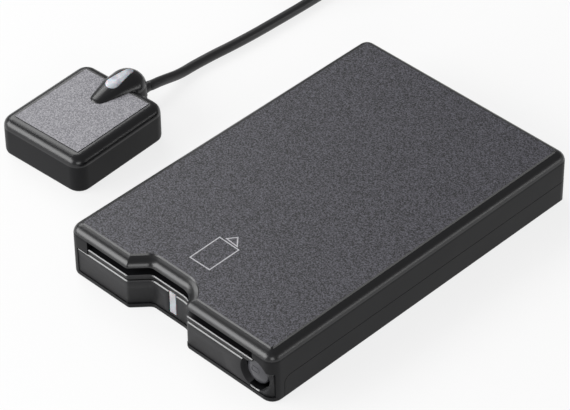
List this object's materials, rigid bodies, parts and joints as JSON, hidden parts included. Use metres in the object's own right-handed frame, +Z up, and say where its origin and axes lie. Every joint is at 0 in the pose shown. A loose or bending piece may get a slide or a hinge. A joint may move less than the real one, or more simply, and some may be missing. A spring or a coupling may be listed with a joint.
{
  "type": "toll transponder",
  "caption": "Flat card-reading toll unit with a scooped card slot, a round eject button and a rear pair of sockets, and a small separate antenna box on a long thin cable.",
  "frame": {"origin": "middle of the main unit's flat underside", "axes": "+Z up from the surface it lies on; the card slot faces -Y and the sockets +Y, so +X is to the right of someone facing the slot; the antenna box stands on the -X side"},
  "size_m": [0.1657, 0.1775, 0.015],
  "materials": {
    "cover_plastic": "fine spark texture on top, satin sides",
    "lower_plastic": "fine satin",
    "panel_plastic": "fine satin",
    "clear_plastic": "milky, polished",
    "lens_plastic": "frosted, polished",
    "black_plastic": "as moulded",
    "white_plastic": "as moulded",
    "blue_plastic": "as moulded",
    "acetal": "natural acetal",
    "board_laminate": "solder mask",
    "steel": "bright zinc plating",
    "screw_steel": "black zinc plating",
    "tinned_metal": "tinned",
    "gold_plate": "gold plating",
    "ceramic": "sintered ceramic",
    "silver_print": "fired silver",
    "cable_jacket": "satin PVC",
    "grommet_rubber": "satin",
    "tie_nylon": "nylon"
  },
  "bodies": {
    "unit": {"top_cover": "cover_plastic", "bottom_cover": "lower_plastic", "front_panel": "panel_plastic", "light_pipe": "clear_plastic", "button_spring": "steel", "lever_pivot": "steel", "card_guide": "black_plastic", "contact_block": "black_plastic", "card_contacts": "gold_plate", "card_switch": "black_plastic", "main_board": "board_laminate", "shield_can": "tinned_metal", "processor_chips": "black_plastic", "capacitors": "tinned_metal", "speaker": "black_plastic", "status_led": "white_plastic", "power_header": "white_plastic", "power_pins": "tinned_metal", "antenna_jack": "blue_plastic", "jack_pin": "gold_plate", "case_screws": "screw_steel", "board_screws": "steel", "guide_screws": "steel", "antenna_cover": "cover_plastic", "antenna_base": "black_plastic", "base_screws": "screw_steel", "antenna_board": "board_laminate", "patch_element": "ceramic", "patch_electrode": "silver_print", "feed_pin": "gold_plate", "antenna_shield": "tinned_metal", "antenna_lamp": "white_plastic", "indicator_lens": "lens_plastic", "cable_grommet": "grommet_rubber", "coax_lead": "cable_jacket", "antenna_cable": "cable_jacket", "cable_coil": "cable_jacket", "coil_tie": "tie_nylon", "cable_tail": "cable_jacket", "antenna_plug": "blue_plastic", "plug_boot": "grommet_rubber", "plug_contact": "gold_plate"},
    "button": {"eject_button": "panel_plastic"},
    "lever": {"eject_lever": "acetal"},
    "pusher": {"card_pusher": "acetal"}
  },
  "joints": [
    {"name": "button_slide", "type": "slide", "parent": "unit", "child": "button", "axis": [0, 1, 0], "range_m": [0, 0.003], "stiffness_N_per_m": 400, "springref_m": -0.003, "deforming": ["button_spring"]},
    {"name": "lever_hinge", "type": "hinge", "parent": "unit", "child": "lever", "pos_m": [0.0226, 0.0385, 0.0064], "axis": [0, 0, 1], "range_deg": [0, 31.3]},
    {"name": "pusher_slide", "type": "slide", "parent": "unit", "child": "pusher", "axis": [0, -1, 0], "range_m": [0, 0.00905]}
  ],
  "couplings": [
    {"joint": "lever_hinge", "follows": "button_slide", "rad_per_m": 181.82},
    {"joint": "pusher_slide", "follows": "button_slide", "ratio": 3}
  ]
}
